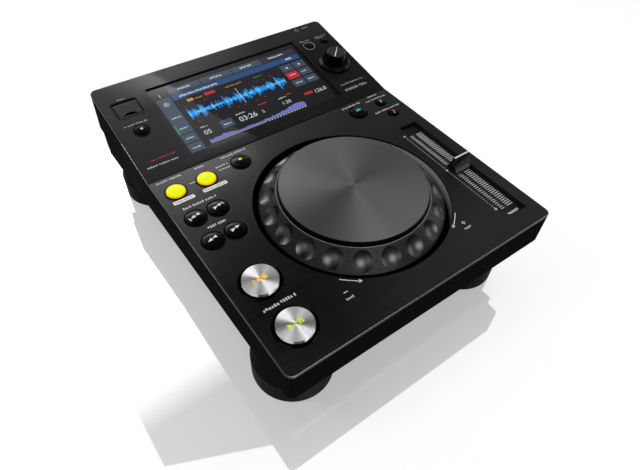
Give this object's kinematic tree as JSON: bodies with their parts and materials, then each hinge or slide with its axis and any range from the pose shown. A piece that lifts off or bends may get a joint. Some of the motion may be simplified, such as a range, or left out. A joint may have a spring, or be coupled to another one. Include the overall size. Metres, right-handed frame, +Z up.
{
  "type": "dj_media_player",
  "caption": "Compact black DJ media player with a jog wheel with finger dimples, a tilted touch screen, bright cue and play buttons and a tempo slider.",
  "frame": {"origin": "on the table, under the middle of the plan", "axes": "X to the right as the user stands at it, Y to the back, Z up"},
  "size_m": [0.223, 0.294, 0.1005],
  "materials": {
    "case_plastic": "moulded, fine grain",
    "deck_metal": "black, brushed hairline across",
    "panel_plastic": "satin",
    "pan_steel": "black powder coat",
    "foot_rubber": "matt",
    "pad_rubber": "matt",
    "screw_steel": "machined",
    "screen_glass": "clear, gloss",
    "lcd_plastic": "dark",
    "bare_steel": "zinc",
    "board_green": "solder mask",
    "switch_plastic": "moulded",
    "bezel_black": "gloss",
    "well_black": "moulded",
    "jog_grey": "satin metallic",
    "bearing_brass": "turned",
    "jog_metal": "dark, spun",
    "knob_black": "satin gloss",
    "gloss_black": "gloss",
    "socket_nickel": "nickel",
    "lit_yellow": "lit through",
    "bright_metal": "radial brushed"
  },
  "bodies": {
    "chassis": {"upper_case": "case_plastic", "deck_plate": "deck_metal", "display_panel": "panel_plastic", "bottom_pan": "pan_steel", "rear_panel": "pan_steel", "foot_front_left": "foot_rubber", "foot_front_right": "foot_rubber", "foot_rear_left": "foot_rubber", "foot_rear_right": "foot_rubber", "foot_pads": "pad_rubber", "base_screws": "screw_steel", "board_screws": "screw_steel", "touch_glass": "screen_glass", "lcd_module": "lcd_plastic", "display_bracket": "bare_steel", "main_board": "board_green", "power_supply_board": "board_green", "control_boards": "board_green", "tact_switches": "switch_plastic", "button_bezels": "bezel_black", "jog_well": "well_black", "jog_spindle": "screw_steel", "jog_sensor": "switch_plastic", "tempo_trough": "well_black", "tempo_fader": "bare_steel", "selector_collar": "gloss_black", "selector_encoder": "bare_steel", "usb_lid_pin": "screw_steel", "usb_socket": "socket_nickel", "lan_socket": "socket_nickel", "usb_device_socket": "socket_nickel", "audio_sockets": "socket_nickel", "mains_inlet": "switch_plastic", "power_switch": "switch_plastic"},
    "jog_wheel": {"jog_ring": "jog_grey", "jog_bearing": "bearing_brass", "jog_encoder_disc": "bare_steel"},
    "jog_plate": {"jog_plate": "jog_metal"},
    "tempo_slider": {"tempo_knob": "knob_black", "fader_lever": "bare_steel"},
    "selector_rotor": {"selector_rotor": "switch_plastic"},
    "selector": {"selector_shaft": "bare_steel", "selector_knob": "gloss_black"},
    "usb_lid": {"usb_lid": "panel_plastic"},
    "power_button": {"power_button": "knob_black"},
    "loop_in_button": {"loop_in_button": "lit_yellow"},
    "loop_out_button": {"loop_out_button": "lit_yellow"},
    "reloop_button": {"reloop_button": "gloss_black"},
    "track_back_button": {"track_back_button": "gloss_black"},
    "track_forward_button": {"track_forward_button": "gloss_black"},
    "search_back_button": {"search_back_button": "gloss_black"},
    "search_forward_button": {"search_forward_button": "gloss_black"},
    "cue_button": {"cue_button": "bright_metal"},
    "play_button": {"play_button": "bright_metal"},
    "jog_mode_button": {"jog_mode_button": "gloss_black"},
    "tempo_range_button": {"tempo_range_button": "gloss_black"},
    "master_tempo_button": {"master_tempo_button": "gloss_black"},
    "usb_stop_button": {"usb_stop_button": "gloss_black"},
    "back_button": {"back_button": "gloss_black"},
    "tag_button": {"tag_button": "gloss_black"}
  },
  "joints": [
    {"name": "jog_spin", "type": "hinge", "parent": "chassis", "child": "jog_wheel", "pos_m": [0.0025, -0.05649, 0.079], "axis": [0, 0, 1], "continuous": true},
    {"name": "jog_plate_press", "type": "slide", "parent": "jog_wheel", "child": "jog_plate", "axis": [0, 0, -1], "range_m": [0, 0.0005], "stiffness_N_per_m": 6000, "springref_m": -0.0003},
    {"name": "tempo_slide", "type": "slide", "parent": "chassis", "child": "tempo_slider", "axis": [0, 1, 0], "range_m": [-0.048, 0.048]},
    {"name": "selector_turn", "type": "hinge", "parent": "chassis", "child": "selector_rotor", "pos_m": [0.09, 0.08293, 0.08704], "axis": [0, -0.1685, 0.9857], "continuous": true},
    {"name": "selector_push", "type": "slide", "parent": "selector_rotor", "child": "selector", "axis": [0, 0.1685, -0.9857], "range_m": [0, 0.0006], "stiffness_N_per_m": 3000, "springref_m": -0.0003},
    {"name": "usb_lid_hinge", "type": "hinge", "parent": "chassis", "child": "usb_lid", "pos_m": [-0.0928, 0.11691, 0.09005], "axis": [-1, 0, 0], "range_deg": [0, 90]},
    {"name": "power_push", "type": "slide", "parent": "chassis", "child": "power_button", "axis": [0, -1, 0], "range_m": [0, 0.0015], "stiffness_N_per_m": 1000, "springref_m": -0.001},
    {"name": "loop_in_push", "type": "slide", "parent": "chassis", "child": "loop_in_button", "axis": [0, 0, -1], "range_m": [0, 0.0005], "stiffness_N_per_m": 3000, "springref_m": -0.0003},
    {"name": "loop_out_push", "type": "slide", "parent": "chassis", "child": "loop_out_button", "axis": [0, 0, -1], "range_m": [0, 0.0005], "stiffness_N_per_m": 3000, "springref_m": -0.0003},
    {"name": "reloop_push", "type": "slide", "parent": "chassis", "child": "reloop_button", "axis": [0, 0, -1], "range_m": [0, 0.0005], "stiffness_N_per_m": 3000, "springref_m": -0.0003},
    {"name": "track_back_push", "type": "slide", "parent": "chassis", "child": "track_back_button", "axis": [0, 0, -1], "range_m": [0, 0.0005], "stiffness_N_per_m": 3000, "springref_m": -0.0003},
    {"name": "track_forward_push", "type": "slide", "parent": "chassis", "child": "track_forward_button", "axis": [0, 0, -1], "range_m": [0, 0.0005], "stiffness_N_per_m": 3000, "springref_m": -0.0003},
    {"name": "search_back_push", "type": "slide", "parent": "chassis", "child": "search_back_button", "axis": [0, 0, -1], "range_m": [0, 0.0005], "stiffness_N_per_m": 3000, "springref_m": -0.0003},
    {"name": "search_forward_push", "type": "slide", "parent": "chassis", "child": "search_forward_button", "axis": [0, 0, -1], "range_m": [0, 0.0005], "stiffness_N_per_m": 3000, "springref_m": -0.0003},
    {"name": "cue_push", "type": "slide", "parent": "chassis", "child": "cue_button", "axis": [0, 0, -1], "range_m": [0, 0.0005], "stiffness_N_per_m": 3000, "springref_m": -0.0003},
    {"name": "play_push", "type": "slide", "parent": "chassis", "child": "play_button", "axis": [0, 0, -1], "range_m": [0, 0.0005], "stiffness_N_per_m": 3000, "springref_m": -0.0003},
    {"name": "jog_mode_push", "type": "slide", "parent": "chassis", "child": "jog_mode_button", "axis": [0, 0, -1], "range_m": [0, 0.0005], "stiffness_N_per_m": 3000, "springref_m": -0.0003},
    {"name": "tempo_range_push", "type": "slide", "parent": "chassis", "child": "tempo_range_button", "axis": [0, 0, -1], "range_m": [0, 0.0005], "stiffness_N_per_m": 3000, "springref_m": -0.0003},
    {"name": "master_tempo_push", "type": "slide", "parent": "chassis", "child": "master_tempo_button", "axis": [0, 0, -1], "range_m": [0, 0.0005], "stiffness_N_per_m": 3000, "springref_m": -0.0003},
    {"name": "usb_stop_push", "type": "slide", "parent": "chassis", "child": "usb_stop_button", "axis": [0, 0.1685, -0.9857], "range_m": [0, 0.0005], "stiffness_N_per_m": 3000, "springref_m": -0.0003},
    {"name": "back_push", "type": "slide", "parent": "chassis", "child": "back_button", "axis": [0, 0.1685, -0.9857], "range_m": [0, 0.0005], "stiffness_N_per_m": 3000, "springref_m": -0.0003},
    {"name": "tag_push", "type": "slide", "parent": "chassis", "child": "tag_button", "axis": [0, 0.1685, -0.9857], "range_m": [0, 0.0005], "stiffness_N_per_m": 3000, "springref_m": -0.0003}
  ]
}
